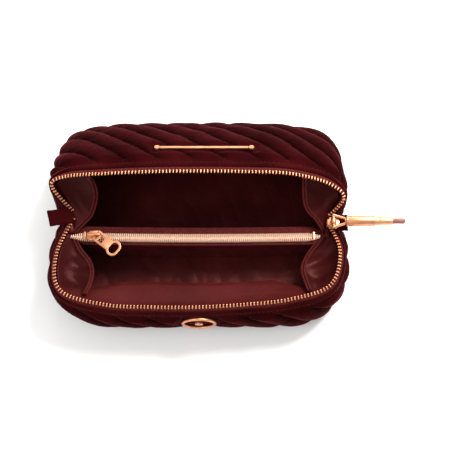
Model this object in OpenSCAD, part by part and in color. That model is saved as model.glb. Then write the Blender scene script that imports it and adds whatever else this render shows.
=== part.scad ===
// Quilted velvet makeup bag, standing open on its base, with a zipped divider pocket and a charm puller.
// Origin: centre of the base, on the surface it stands on. X runs along the bag, -Y is the front, +Z is up.

/* [Base] */
// Length of the flat base, left to right
base_l = 208; // [190:1:240]
// Depth of the flat base, front to back
base_w = 150; // [135:1:180]
// Radius of the two front corners of the base
front_corner_r = 36; // [28:1:42]
// Radius of the two back corners of the base
back_corner_r = 18; // [16:1:34]
// Thickness of the base velvet
base_t = 1.6; // [1.2:0.1:2.4]
// Thickness of the stiffening board
board_t = 1.8; // [1.2:0.1:2.5]
// Thickness of the base lining
base_lining_t = 0.9; // [0.6:0.1:1.4]

/* [Walls] */
// Height of the front rim above the table
front_h = 49; // [44:1:56]
// Height of the back rim above the table
back_h = 84; // [76:1:92]
// How far the back rim lies behind the middle of the base
back_rim_y = 17; // [12:1:24]
// Height of the two zip ends
pinch_h = 43; // [38:1:46]
// Thickness of the quilted velvet
velvet_t = 1.8; // [1.2:0.1:2.4]
// Thickness of the wadding
wadding_t = 2.2; // [1.5:0.1:3]
// Thickness of the lining
lining_t = 0.9; // [0.6:0.1:1.4]

/* [Main zip] */
// Distance between zip teeth
tooth_pitch = 2.54; // [2.3:0.02:3.2]
// Length of a tooth along the chain
tooth_l = 1.5; // [1:0.1:1.8]
// Reach of a tooth across the chain
tooth_w = 3.6; // [3:0.1:4.4]
// Height of a tooth
tooth_t = 2.6; // [2:0.1:3.2]
// Width of the woven tape
tape_w = 6; // [5:0.5:8]
// Thickness of the woven tape
tape_t = 0.9; // [0.6:0.1:1.2]
// Width of the velvet hem band
hem_w = 5; // [4:0.5:7]

/* [Slider and charm] */
// Length of the main slider body
slider_l = 9; // [8:0.5:12]
// Width of the main slider body
slider_w = 7.6; // [7:0.1:9.2]
// Thickness of each slider plate
slider_plate = 1.3; // [1:0.1:1.8]
// Inside height between the slider plates
slider_gap = 3.2; // [2.8:0.1:4]
// Diameter of the hinge pin of the puller
pin_d = 1.8; // [1.4:0.1:2.2]
// Diameter of the charm barrel
barrel_d = 8; // [6:0.1:9]
// Length of the charm barrel
barrel_l = 20; // [16:1:26]
// Diameter of the charm sleeve
sleeve_d = 6.4; // [4.8:0.1:7]
// Length of the charm sleeve
sleeve_l = 10.5; // [8:0.5:14]
// Diameter of the charm tip
bullet_d = 4.4; // [3:0.1:4.6]
// Length of the charm tip
bullet_l = 10; // [8:0.5:13]
// Diametral fit clearance of the puller on its pin
pin_clear = 0.12; // [0.06:0.02:0.2]

/* [Divider pocket] */
// Thickness of the pocket from wall to wall
pocket_w = 18; // [15:1:22]
// Thickness of each pocket wall
pocket_wall = 1.4; // [1:0.1:2]
// Height of the pocket zip
pocket_h = 38; // [34:1:41]
// Half length of the pocket
pocket_half = 90; // [80:1:94]
// Width of the pocket coil
coil_w = 5.6; // [5:0.1:6.5]
// Length of the pocket pull
pull_l = 22; // [18:1:26]

/* [Hidden] */
$fn = 48;
EPS = 0.01;

// The rim, eleven places round each half from the left zip end to the right one: [x, y, z]
pinch_left = [-94, -2, pinch_h];
pinch_right = [96, -6, pinch_h];
front_y = -base_w / 2;
FRONT_RIM = [pinch_left, [-107, front_y + 40, front_h - 2], [-103, front_y + 11, front_h],
    [-70, front_y, front_h], [-35, front_y - 2, front_h], [0, front_y - 2, front_h],
    [35, front_y, front_h], [68, front_y + 4, front_h], [98, front_y + 15, front_h],
    [106, front_y + 43, front_h - 2], pinch_right];
BACK_RIM = [pinch_left, [-111, back_rim_y - 3, back_h - 23], [-100, back_rim_y + 2, back_h - 16],
    [-70, back_rim_y, back_h - 5], [-35, back_rim_y, back_h - 1], [0, back_rim_y, back_h],
    [35, back_rim_y, back_h - 1], [68, back_rim_y, back_h - 5], [96, back_rim_y - 3, back_h - 16],
    [109, back_rim_y - 12, back_h - 24], pinch_right];
// Share of the way round where the moving rims begin, and how far down the walls they reach
FRONT_END = 0.25;
BACK_END = 0.2;
FRONT_SPLIT = 0.78;
BACK_SPLIT = 0.36;
SPLIT_GAP = 0.012;
LAYER_GAP = 0.12;
hem_t = 1.2;
hem_start = 2.6;
layer_start = tape_w + 1;
FRONT = -1;
BACK = 1;

// Where things sit
pocket_y = -19;
floor_z = base_t + board_t + base_lining_t;
slider_x = 101.5;
slider_y = -11;
slider_z = pinch_h + 2 + slider_plate + slider_gap / 2;
slider_top = slider_z + slider_gap / 2 + slider_plate;
lug_r = pin_d / 2 + 1.1;
pin_z = slider_top + lug_r;
pocket_slider_x = -80;
pull_turn = -38;

// Colours
velvet_c = [0.36, 0.09, 0.13];
lining_c = [0.3, 0.1, 0.12];
tape_c = [0.5, 0.28, 0.28];
gold_c = [0.87, 0.62, 0.48];
wadding_c = [0.9, 0.88, 0.85];
board_c = [0.75, 0.66, 0.5];

// A smooth curve through a list of points, with t counted in points
function clamp(x, lo, hi) = min(max(x, lo), hi);
function pick(P, i) = P[clamp(i, 0, len(P) - 1)];
function spline(P, t) =
    let(i = clamp(floor(t), 0, len(P) - 2), f = t - i,
        a = pick(P, i - 1), b = P[i], c = P[i + 1], d = pick(P, i + 2))
    0.5 * (2 * b + (c - a) * f + (2 * a - 5 * b + 4 * c - d) * f * f
        + (3 * b - a - 3 * c + d) * f * f * f);
function rim(side, u) = spline(side == FRONT ? FRONT_RIM : BACK_RIM, u * 10);

// Half of the base outline by distance s from its left side, as [x, y], and its outward direction
half_l = base_l / 2;
half_w = base_w / 2;
function corner(side) = side == FRONT ? front_corner_r : back_corner_r;
function side_len(side) = half_w - corner(side);
function arc_len(side) = corner(side) * PI / 2;
function half_round(side) = 2 * side_len(side) + 2 * arc_len(side) + base_l - 2 * corner(side);
function left_half(side, s) =
    let(r = corner(side), straight = side_len(side), bend = arc_len(side))
    s < straight ? [-half_l, s, 180]
    : s < straight + bend ?
        let(a = 180 - (s - straight) / r * 180 / PI)
        [-half_l + r + r * cos(a), straight + r * sin(a), a]
    : [-half_l + r + s - straight - bend, half_w, 90];
function outline(side, u) =
    let(whole = half_round(side), s = u * whole, left = s <= whole / 2,
        q = left_half(side, left ? s : whole - s), m = left ? 1 : -1)
    [[m * q[0], side * q[1]], [m * cos(q[2]), side * sin(q[2])]];

// Wall surface: u goes round from the left zip end, v goes down from the rim to the base
function lerp(a, b, w) = a + (b - a) * w;
function fullness(side, u) = 1 - pow(abs(cos(180 * u)), side == FRONT ? 2 : 6);
function dip(w, deep) = deep * w * (1 - w);
function wall(side, u, v) =
    let(w = fullness(side, u), o = outline(side, u), n = [o[1][0], o[1][1], 0],
        front = side == FRONT, a = rim(side, u), d = [o[0][0], o[0][1], base_t],
        high = front ? lerp(6, 7, w) : lerp(6, 14, w) - dip(w, 20),
        low = front ? lerp(12, 11, w) : lerp(12, 22, w) - dip(w, 40),
        b = a + n * high - [0, 0, lerp(1, front ? 2 : 0, w)],
        c = d + n * low + [0, 0, lerp(16, front ? 16 : 32, w)],
        k = 1 - v)
    k * k * k * a + 3 * k * k * v * b + 3 * k * v * v * c + v * v * v * d;
function unit(a) = a / norm(a);
STEP = 0.01;
function wall_normal(side, u, v) =
    let(u0 = max(u - STEP, 0), u1 = min(u + STEP, 1), v0 = max(v - STEP, 0), v1 = min(v + STEP, 1))
    side * unit(cross(wall(side, u1, v) - wall(side, u0, v), wall(side, u, v1) - wall(side, u, v0)));
function deep(side, u, v, depth) = wall(side, u, v) - depth * wall_normal(side, u, v);
// The v at a straight distance m from the rim
function down(side, u, m, lo = 0, hi = 0.6, n = 12) =
    n == 0 ? (lo + hi) / 2
    : let(mid = (lo + hi) / 2, far = norm(wall(side, u, mid) - rim(side, u)) > m)
        down(side, u, m, far ? lo : mid, far ? mid : hi, n - 1);

// A closed sheet between two depths, over a patch of wall: v runs from distance m0 (or share v0) to v1
module sheet(side, us, vs, d0, d1) {
    nu = len(us);
    nv = len(vs[0]);
    outer = [for (i = [0:nu - 1]) for (j = [0:nv - 1]) deep(side, us[i], vs[i][j], d0)];
    inner = [for (i = [0:nu - 1]) for (j = [0:nv - 1]) deep(side, us[i], vs[i][j], d1)];
    half = nu * nv;
    last = half - nv;
    quads = concat(
        [for (i = [0:nu - 2]) for (j = [0:nv - 2])
            [i * nv + j, i * nv + j + 1, (i + 1) * nv + j + 1, (i + 1) * nv + j]],
        [for (i = [0:nu - 2]) for (j = [0:nv - 2])
            [half + i * nv + j, half + (i + 1) * nv + j, half + (i + 1) * nv + j + 1, half + i * nv + j + 1]],
        [for (i = [0:nu - 2]) each [
            [i * nv, (i + 1) * nv, half + (i + 1) * nv, half + i * nv],
            [i * nv + nv - 1, half + i * nv + nv - 1, half + (i + 1) * nv + nv - 1, (i + 1) * nv + nv - 1]]],
        [for (j = [0:nv - 2]) each [
            [j, half + j, half + j + 1, j + 1],
            [last + j, last + j + 1, half + last + j + 1, half + last + j]]]);
    tris = [for (q = quads) each [[q[0], q[1], q[2]], [q[0], q[2], q[3]]]];
    polyhedron(concat(outer, inner),
        side == FRONT ? [for (t = tris) [t[2], t[1], t[0]]] : tris, convexity = 10);
}
function steps(a, b, n) = [for (i = [0:n]) lerp(a, b, i / n)];
function from_rim(side, us, m, v1, n) = [for (u = us) steps(down(side, u, m), v1, n)];
function end_of(side) = side == FRONT ? FRONT_END : BACK_END;
function split_of(side) = side == FRONT ? FRONT_SPLIT : BACK_SPLIT;

// The moving upper part of a wall layer
module upper_layer(side, d0, d1) {
    us = steps(end_of(side), 1 - end_of(side), 22);
    sheet(side, us, from_rim(side, us, layer_start, split_of(side), 5), d0, d1);
}
// The still lower part of a wall layer, one piece with the two ends that rise to the zip ends
END_U = 0.003;
NOTCH = 0.006;
module lower_layer(side, d0, d1) {
    e = end_of(side) - SPLIT_GAP;
    s = split_of(side) + SPLIT_GAP;
    us = concat(steps(END_U, e, 5), steps(e + NOTCH, 1 - e - NOTCH, 22), steps(1 - e, 1 - END_U, 5));
    tops = [for (u = us) abs(u - 0.5) < 0.5 - e - EPS / 10 ? s : down(side, u, layer_start)];
    sheet(side, us, [for (top = tops) steps(top, 1, 8)], d0, d1);
}
wad0 = velvet_t;
lin0 = velvet_t + wadding_t;
lin1 = lin0 + lining_t;
module front_velvet_lower() { color(velvet_c) lower_layer(FRONT, 0, velvet_t); }
module front_wadding_lower() { color(wadding_c) lower_layer(FRONT, wad0, lin0); }
module front_lining_lower() { color(lining_c) lower_layer(FRONT, lin0, lin1); }
module back_velvet_lower() { color(velvet_c) lower_layer(BACK, 0, velvet_t); }
module back_wadding_lower() { color(wadding_c) lower_layer(BACK, wad0, lin0); }
module back_lining_lower() { color(lining_c) lower_layer(BACK, lin0, lin1); }
module front_velvet_upper() { color(velvet_c) upper_layer(FRONT, 0, velvet_t); }
module front_wadding_upper() { color(wadding_c) upper_layer(FRONT, wad0, lin0); }
module front_lining_upper() { color(lining_c) upper_layer(FRONT, lin0, lin1); }
module back_velvet_upper() { color(velvet_c) upper_layer(BACK, 0, velvet_t); }
module back_wadding_upper() { color(wadding_c) upper_layer(BACK, wad0, lin0); }
module back_lining_upper() { color(lining_c) upper_layer(BACK, lin0, lin1); }

// Strips that run along the rim between two distances from it
module rim_strip(side, us, m0, m1, d0, d1) {
    sheet(side, us, [for (u = us) [for (m = [m0, (m0 + m1) / 2, m1]) down(side, u, m)]], d0, d1);
}
module moving_strip(side, m0, m1, d0, d1) {
    rim_strip(side, steps(end_of(side), 1 - end_of(side), 36), m0, m1, d0, d1);
}
module front_hem() { color(velvet_c) moving_strip(FRONT, hem_start, hem_start + hem_w, -hem_t, -LAYER_GAP); }
module back_hem() { color(velvet_c) moving_strip(BACK, hem_start, hem_start + hem_w, -hem_t, -LAYER_GAP); }
module front_tape() { color(tape_c) moving_strip(FRONT, 0, tape_w, 0, tape_t); }
module back_tape() { color(tape_c) moving_strip(BACK, 0, tape_w, 0, tape_t); }
module zip_end(u0, u1) {
    for (side = [FRONT, BACK]) {
        e = end_of(side) - SPLIT_GAP;
        rim_strip(side, steps(u0 < 0.5 ? 0.02 : 1 - e, u0 < 0.5 ? e : 0.98, 8), 0, tape_w, 0, tape_t);
    }
}
module zip_end_left() { color(tape_c) zip_end(0, 0.2); }
module zip_end_right() { color(tape_c) zip_end(0.8, 1); }

// Teeth stand at equal distances along the rim
FINE = 300;
function rim_marks(side, i = 0, s = 0, out = []) =
    i > FINE ? out
    : let(s1 = i == 0 ? 0 : s + norm(rim(side, i / FINE) - rim(side, (i - 1) / FINE)))
        rim_marks(side, i + 1, s1, concat(out, [[s1, i / FINE]]));
module teeth(side) {
    marks = rim_marks(side);
    us = [for (s = [tooth_pitch / 2:tooth_pitch:marks[FINE][0]]) lookup(s, marks)];
    for (u = us) if (u > end_of(side) + 0.003 && u < 1 - end_of(side) - 0.003) {
        n = wall_normal(side, u, 0.02);
        t = unit(rim(side, u + STEP) - rim(side, u - STEP));
        o = cross(n, t);
        at = rim(side, u) - n * tape_t / 2;
        multmatrix([for (k = [0:2]) [t[k], o[k], n[k], at[k]]])
            cube([tooth_l, tooth_w, tooth_t], center = true);
    }
}
module front_teeth() { color(gold_c) teeth(FRONT); }
module back_teeth() { color(gold_c) teeth(BACK); }

// Base
module base_plate(inset, z, t) {
    translate([0, 0, z]) linear_extrude(t) for (side = [FRONT, BACK]) {
        r = corner(side) - inset;
        wide = half_l - corner(side);
        deep_y = half_w - corner(side);
        translate([-half_l + inset, side > 0 ? 0 : -deep_y]) square([base_l - 2 * inset, deep_y]);
        translate([-wide, side > 0 ? 0 : -half_w + inset]) square([2 * wide, half_w - inset]);
        for (x = [-1, 1]) translate([x * wide, side * deep_y]) circle(r, $fn = 64);
    }
}
board_inset = lin1 + 2.5;
module base_panel() { color(velvet_c) base_plate(0, 0, base_t); }
module base_board() { color(board_c) base_plate(board_inset, base_t, board_t); }
module base_lining() { color(lining_c) base_plate(board_inset, base_t + board_t, base_lining_t); }

// Fabric tabs at the zip ends
tab_w = 15;
tab_t = 2.2;
tab_r = 2;
left_tab_l = 14;
right_tab_l = 5.4;
left_tab_z = pinch_h + 5;
right_tab_z = pinch_h - 1;
module tab(l) {
    linear_extrude(tab_t) {
        square([l, tab_w - 2 * tab_r], center = true);
        square([l - 2 * tab_r, tab_w], center = true);
        for (x = [-1, 1]) for (y = [-1, 1])
            translate([x * (l / 2 - tab_r), y * (tab_w / 2 - tab_r)]) circle(tab_r);
    }
}
left_tab_at = [pinch_left[0] - 14.5, -5.5, left_tab_z];
right_tab_at = [pinch_right[0] + 15.2, -9, right_tab_z];
module tab_left() { color(velvet_c) translate(left_tab_at) rotate(14) tab(left_tab_l); }
module tab_right() { color(velvet_c) translate(right_tab_at) tab(right_tab_l); }

// Divider pocket
wall_h = pocket_h - 1 - floor_z;
module pocket_side(y) {
    translate([-pocket_half, y - pocket_wall / 2, floor_z]) cube([2 * pocket_half, pocket_wall, wall_h]);
}
pocket_reach = (pocket_w - pocket_wall) / 2;
module pocket_front() { color(lining_c) pocket_side(pocket_y - pocket_reach); }
module pocket_back() { color(lining_c) pocket_side(pocket_y + pocket_reach); }
module pocket_floor() {
    color(lining_c) translate([-pocket_half, pocket_y - pocket_reach + pocket_wall / 2, floor_z])
        cube([2 * pocket_half, 2 * pocket_reach - pocket_wall, 1]);
}
rod_r = coil_w / 4;
module pocket_tape(side) {
    w = pocket_reach + pocket_wall / 2 - coil_w / 2 + 0.6;
    y = side > 0 ? pocket_y + coil_w / 2 - 0.6 : pocket_y - pocket_reach - pocket_wall / 2;
    translate([-pocket_half, y, pocket_h - 1]) cube([2 * pocket_half, w, 1]);
}
module pocket_tape_front() { color(tape_c) pocket_tape(-1); }
module pocket_tape_back() { color(tape_c) pocket_tape(1); }
coil_half = pocket_half - 2;
module pocket_coil() {
    color(gold_c) for (s = [-1, 1]) translate([-coil_half, pocket_y + s * rod_r, pocket_h + rod_r])
        rotate([0, 90, 0]) cylinder(r = rod_r - 0.02, h = 2 * coil_half);
}
module pocket_stop(x) {
    translate([x - 0.7, pocket_y - coil_w / 2 - 0.5, pocket_h + 2 * rod_r + 0.02])
        cube([1.4, coil_w + 1, 0.9]);
}
module pocket_stop_left() { color(gold_c) pocket_stop(-coil_half + 0.8); }
module pocket_stop_right() { color(gold_c) pocket_stop(coil_half - 0.8); }

// Pocket slider: a plate over the coil with an arch, and a pull whose end bar runs under the arch
ps_l = 10;
ps_w = 7.6;
ps_t = 1.3;
ps_z = pocket_h + 2 * rod_r + 0.35;
arch_w = 1.4;
arch_leg = 1;
arch_h = 3.4;
pull_bar = 1.3;
module at_pocket_slider() { translate([pocket_slider_x, pocket_y, ps_z]) children(); }
module pocket_slider() {
    color(gold_c) at_pocket_slider() {
        translate([-ps_l / 2, -ps_w / 2 + 1, 0]) cube([ps_l, ps_w - 2, ps_t]);
        translate([-ps_l / 2 + 1.5, -ps_w / 2, 0]) cube([ps_l - 3, ps_w, ps_t]);
    }
}
module pocket_slider_bridge() {
    color(gold_c) at_pocket_slider() {
        for (x = [-ps_l / 2 + 0.6, ps_l / 2 - 0.6 - arch_leg])
            translate([x, -arch_w / 2, ps_t]) cube([arch_leg, arch_w, arch_h]);
        translate([-ps_l / 2 + 0.6, -arch_w / 2, ps_t + arch_h - 1.2]) cube([ps_l - 1.2, arch_w, 1.2]);
    }
}
pull_w = 8.8;
pull_side = 1.6;
pull_pin = [ps_l / 2 - arch_leg - 2.4, 0, ps_t + pull_bar / 2 + 0.25];
window_l = 7.5;
pull_ring = [9.5, 12.6];
pull_hole = [6, 9.2];
module oval(size) {
    square([size[0], size[1] - size[0]], center = true);
    for (s = [-1, 1]) translate([0, s * (size[1] - size[0]) / 2]) circle(d = size[0]);
}
module pocket_pull() {
    color(gold_c) at_pocket_slider() translate(pull_pin) rotate([0, 0, pull_turn]) {
        rotate([90, 0, 0]) cylinder(d = pull_bar, h = pull_w, center = true);
        translate([0, 0, -pull_bar / 2]) linear_extrude(pull_bar) difference() {
            union() {
                translate([0, -pull_w / 2]) square([pull_l - pull_ring[0] + 2, pull_w]);
                translate([pull_l - pull_ring[0] / 2, 0]) oval(pull_ring);
            }
            translate([-EPS, -pull_w / 2 + pull_side]) square([window_l, pull_w - 2 * pull_side]);
            translate([pull_l - pull_ring[0] / 2, 0]) oval(pull_hole);
        }
    }
}

// Main slider: two plates on a wedge, with a bridge that carries the puller's pin
module main_slider() {
    color(gold_c) translate([slider_x, slider_y, slider_z]) {
        for (s = [-1, 1]) translate([0, 0, s * (slider_gap + slider_plate) / 2]) {
            cube([slider_l - 3, slider_w, slider_plate], center = true);
            cube([slider_l, slider_w - 3, slider_plate], center = true);
        }
        translate([slider_l / 2 - 2.6, 0, 0]) cylinder(d = 2.6, h = slider_gap + EPS, center = true);
    }
}
lug_w = 4;
module main_slider_bridge() {
    color(gold_c) translate([slider_x, slider_y, 0]) difference() {
        union() {
            translate([-lug_r, -lug_w / 2, slider_top]) cube([2 * lug_r, lug_w, pin_z - slider_top]);
            translate([0, lug_w / 2, pin_z]) rotate([90, 0, 0]) cylinder(r = lug_r, h = lug_w);
        }
        translate([0, 0, pin_z]) rotate([90, 0, 0])
            cylinder(d = pin_d + pin_clear, h = lug_w + 2, center = true);
    }
}
// The stirrup: a pin, two arms that close in on a plate, and the stem of the charm
arm_span = slider_w + 2;
plate_x = 8.5;
arm_d = 1.9;
module puller_stirrup() {
    color(gold_c) translate([slider_x, slider_y, pin_z]) {
        rotate([90, 0, 0]) cylinder(d = pin_d, h = arm_span, center = true);
        for (s = [-1, 1]) hull() {
            translate([0, s * arm_span / 2, 0]) sphere(d = arm_d + 0.6, $fn = 20);
            translate([plate_x, s * 2, 0]) sphere(d = arm_d, $fn = 20);
        }
        translate([plate_x, 0, 0]) rotate([0, 90, 0]) cylinder(d = 5.2, h = 1.2);
    }
}
cap_x = slider_x + plate_x + 1.2;
cap_t = 1.2;
collar_l = 3;
module along(x) { translate([x, slider_y, pin_z]) rotate([0, 90, 0]) children(); }
module charm_cap() { color(gold_c) along(cap_x) cylinder(d = barrel_d + 0.8, h = cap_t); }
barrel_x = cap_x + cap_t;
module charm_barrel() { color(gold_c) along(barrel_x) cylinder(d = barrel_d, h = barrel_l); }
collar_x = barrel_x + barrel_l;
module charm_collar() { color(gold_c) along(collar_x) cylinder(d = barrel_d - 1, h = collar_l); }
sleeve_x = collar_x + collar_l;
module charm_sleeve() { color(gold_c) along(sleeve_x) cylinder(d = sleeve_d, h = sleeve_l); }
bullet_x = sleeve_x + sleeve_l;
module charm_bullet() {
    color([0.66, 0.35, 0.32]) along(bullet_x) rotate_extrude() intersection() {
        square([bullet_d, bullet_l + bullet_d]);
        union() {
            square([bullet_d / 2, bullet_l - bullet_d / 2]);
            translate([0, bullet_l - bullet_d / 2]) circle(bullet_d / 2);
        }
    }
}

// Plain metal ornaments
ring_r = 12;
ring_tube = 1.1;
emblem_v = 0.5;
emblem_lift = 0.9;
module at_front_wall() {
    n = wall_normal(FRONT, 0.5, emblem_v);
    p = wall(FRONT, 0.5, emblem_v) + n * (ring_tube + emblem_lift);
    translate(p) rotate([atan2(-n[1], n[2]), 0, 0]) children();
}
module emblem_ring() {
    color(gold_c) at_front_wall() rotate_extrude($fn = 64) translate([ring_r, 0]) circle(ring_tube);
}
module emblem_stud() { color(gold_c) at_front_wall() cylinder(d = 6, h = 2, center = true); }
crest_l = 66;
crest_v = 0.29;
module crest_bar() {
    n = wall_normal(BACK, 0.5, crest_v);
    p = wall(BACK, 0.5, crest_v) + n * 1.6;
    color(gold_c) translate([4, 0, 0] + p) rotate([atan2(-n[1], n[2]), 0, 0]) {
        cube([crest_l, 2.4, 1.4], center = true);
        for (s = [-1, 1])
            translate([s * (crest_l / 2 + 2.4), 0, 0]) cylinder(d = 4.2, h = 1.8, center = true);
    }
}

base_panel();
base_board();
base_lining();
front_velvet_lower();
front_wadding_lower();
front_lining_lower();
back_velvet_lower();
back_wadding_lower();
back_lining_lower();
front_velvet_upper();
front_wadding_upper();
front_lining_upper();
back_velvet_upper();
back_wadding_upper();
back_lining_upper();
front_hem();
front_tape();
front_teeth();
back_hem();
back_tape();
back_teeth();
zip_end_left();
zip_end_right();
tab_left();
tab_right();
pocket_front();
pocket_back();
pocket_floor();
pocket_tape_front();
pocket_tape_back();
pocket_coil();
pocket_stop_left();
pocket_stop_right();
pocket_slider();
pocket_slider_bridge();
pocket_pull();
main_slider();
main_slider_bridge();
puller_stirrup();
charm_cap();
charm_barrel();
charm_collar();
charm_sleeve();
charm_bullet();
emblem_ring();
emblem_stud();
crest_bar();
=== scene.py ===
import math

import bmesh
import bpy
import numpy as np
from mathutils import Matrix, Vector


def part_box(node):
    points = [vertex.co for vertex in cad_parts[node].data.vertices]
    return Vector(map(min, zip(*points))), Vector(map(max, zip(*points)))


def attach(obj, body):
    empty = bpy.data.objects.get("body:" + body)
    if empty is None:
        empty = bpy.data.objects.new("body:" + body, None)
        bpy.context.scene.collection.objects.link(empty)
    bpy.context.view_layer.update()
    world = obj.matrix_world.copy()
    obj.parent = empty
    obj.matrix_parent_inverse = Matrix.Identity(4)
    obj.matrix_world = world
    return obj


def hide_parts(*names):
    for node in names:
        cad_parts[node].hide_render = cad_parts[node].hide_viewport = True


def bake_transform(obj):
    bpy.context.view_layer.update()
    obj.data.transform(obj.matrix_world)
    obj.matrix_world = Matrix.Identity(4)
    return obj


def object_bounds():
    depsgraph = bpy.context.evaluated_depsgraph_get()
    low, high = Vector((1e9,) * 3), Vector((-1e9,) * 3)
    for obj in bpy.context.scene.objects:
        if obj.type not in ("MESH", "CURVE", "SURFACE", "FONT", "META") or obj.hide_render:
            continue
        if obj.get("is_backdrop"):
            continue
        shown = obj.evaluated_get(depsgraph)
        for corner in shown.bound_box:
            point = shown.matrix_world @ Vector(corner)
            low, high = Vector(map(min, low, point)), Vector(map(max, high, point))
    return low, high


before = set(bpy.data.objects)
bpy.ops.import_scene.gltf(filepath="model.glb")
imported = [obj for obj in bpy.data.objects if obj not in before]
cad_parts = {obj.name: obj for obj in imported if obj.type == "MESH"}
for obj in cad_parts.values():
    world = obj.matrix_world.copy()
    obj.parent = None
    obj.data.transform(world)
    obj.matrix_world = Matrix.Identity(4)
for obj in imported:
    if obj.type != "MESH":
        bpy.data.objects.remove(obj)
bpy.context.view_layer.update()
MM = 0.001
FRONT, BACK = -1, 1

# ------------------------------------------- driving sizes, in millimetres, as in the frame
BASE_L, BASE_W, BASE_T = 208.0, 150.0, 1.6
CORNER = {FRONT: 36.0, BACK: 18.0}
FRONT_H, BACK_H, BACK_RIM_Y, PINCH_H = 49.0, 84.0, 17.0, 43.0
FRONT_Y = -BASE_W / 2
POCKET_Y, POCKET_H = -19.0, 38.0
TOOTH_PITCH = 2.54
STITCH_GAP, STITCH_LEN = 3.4, 2.2

# The quilting: its channels' width, how far they lean for each millimetre down the wall, how high they stand,
# and where below the rim they start
QUILT_PITCH = 23.5
QUILT_LEAN = 1.0
QUILT_HEIGHT = 4.3
QUILT_START = 10.5

# The two zip ends, where the rims meet, and the points that each rim passes through between them
PINCH_LEFT = (-94, -2, PINCH_H)
PINCH_RIGHT = (96, -6, PINCH_H)
RIMS = {
    FRONT: np.array([PINCH_LEFT, (-107, FRONT_Y + 40, FRONT_H - 2), (-103, FRONT_Y + 11, FRONT_H),
                     (-70, FRONT_Y, FRONT_H), (-35, FRONT_Y - 2, FRONT_H), (0, FRONT_Y - 2, FRONT_H),
                     (35, FRONT_Y, FRONT_H), (68, FRONT_Y + 4, FRONT_H), (98, FRONT_Y + 15, FRONT_H),
                     (106, FRONT_Y + 43, FRONT_H - 2), PINCH_RIGHT], float),
    BACK: np.array([PINCH_LEFT, (-111, BACK_RIM_Y - 3, BACK_H - 23), (-100, BACK_RIM_Y + 2, BACK_H - 16),
                    (-70, BACK_RIM_Y, BACK_H - 5), (-35, BACK_RIM_Y, BACK_H - 1), (0, BACK_RIM_Y, BACK_H),
                    (35, BACK_RIM_Y, BACK_H - 1), (68, BACK_RIM_Y, BACK_H - 5),
                    (96, BACK_RIM_Y - 3, BACK_H - 16), (109, BACK_RIM_Y - 12, BACK_H - 24), PINCH_RIGHT], float),
}
HALF_L, HALF_W = BASE_L / 2, BASE_W / 2
# One length for the base's half round at either side, so that u times it is a distance along the wall
HALF_ROUND = 330.0


# ------------------------------------------- the bag's surface
def spline(points, t):
    t = np.asarray(t, float)
    i = np.clip(np.floor(t).astype(int), 0, len(points) - 2)
    f = (t - i)[..., None]
    a, b, c, d = (points[np.clip(i + k, 0, len(points) - 1)] for k in (-1, 0, 1, 2))
    return 0.5 * (2 * b + (c - a) * f + (2 * a - 5 * b + 4 * c - d) * f**2 + (3 * b - a - 3 * c + d) * f**3)


def rim(side, u):
    return spline(RIMS[side], np.asarray(u, float) * 10)


def outline(side, u):
    """A point of the base outline and its outward direction, both flat."""
    r = CORNER[side]
    straight, bend = HALF_W - r, r * math.pi / 2
    whole = 2 * straight + 2 * bend + BASE_L - 2 * r
    s = np.asarray(u, float) * whole
    m = np.where(s <= whole / 2, 1.0, -1.0)
    q = np.where(s <= whole / 2, s, whole - s)
    on_side, on_bend = q < straight, q < straight + bend
    angle = np.where(on_side, math.pi, np.where(on_bend, math.pi - (q - straight) / r, math.pi / 2))
    x = np.where(on_side, -HALF_L,
                 np.where(on_bend, -HALF_L + r + r * np.cos(angle), -HALF_L + r + q - straight - bend))
    y = np.where(on_side, q, np.where(on_bend, straight + r * np.sin(angle), HALF_W))
    zero = np.zeros_like(x)
    outward = np.stack([m * np.cos(angle), side * np.sin(angle), zero], -1)
    return np.stack([m * x, side * y, zero], -1), outward


def wall(side, u, v):
    """The wall's outer surface: u goes round from the left zip end, v goes down from the rim to the base.

    Each section is a cubic curve with two handles. Their lengths go from those of the zip ends, where w is 0,
    to those of the middle of the wall, where w is 1.
    """
    u, v = np.broadcast_arrays(np.asarray(u, float), np.asarray(v, float))
    w = (1 - np.abs(np.cos(math.pi * u)) ** (2 if side == FRONT else 6))[..., None]
    foot, out = outline(side, u)
    up = np.array([0, 0, 1.0])
    front = side == FRONT
    a, d = rim(side, u), foot + up * BASE_T
    dip = w * (1 - w)
    high = 6 + w if front else 6 + 8 * w - 20 * dip
    low = 12 - w if front else 12 + 10 * w - 40 * dip
    b = a + out * high - up * (1 + (1 if front else -1) * w)
    c = d + out * low + up * (16 + (0 if front else 16) * w)
    v = v[..., None]
    k = 1 - v
    return k**3 * a + 3 * k * k * v * b + 3 * k * v * v * c + v**3 * d


def unit(a):
    return a / np.maximum(np.linalg.norm(a, axis=-1, keepdims=True), 1e-9)


def wall_normal(side, u, v, e=0.01):
    u, v = np.broadcast_arrays(np.asarray(u, float), np.asarray(v, float))
    du = wall(side, np.minimum(u + e, 1), v) - wall(side, np.maximum(u - e, 0), v)
    dv = wall(side, u, np.minimum(v + e, 1)) - wall(side, u, np.maximum(v - e, 0))
    return side * unit(np.cross(du, dv))


FINE = np.linspace(0, 1, 161)


def depth_tables(side, us):
    """For each u, the distance down the wall from the rim at each v of FINE."""
    p = wall(side, us[:, None], FINE[None, :])
    step = np.linalg.norm(np.diff(p, axis=1), axis=2)
    return np.concatenate([np.zeros((len(us), 1)), np.cumsum(step, axis=1)], axis=1)


def depth_at(side, us, v):
    """The distance down the wall for each row of v, one row for each u, and the tables it is read from."""
    tables = depth_tables(side, us)
    return np.array([np.interp(v[i], FINE, tables[i]) for i in range(len(us))]), tables


def v_at(side, us, m):
    """v at the distance m down the wall; m is one number, or one for each u."""
    table = depth_tables(side, us)
    m = np.broadcast_to(np.asarray(m, float), us.shape)
    return np.array([np.interp(m[i], table[i], FINE) for i in range(len(us))])


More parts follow.
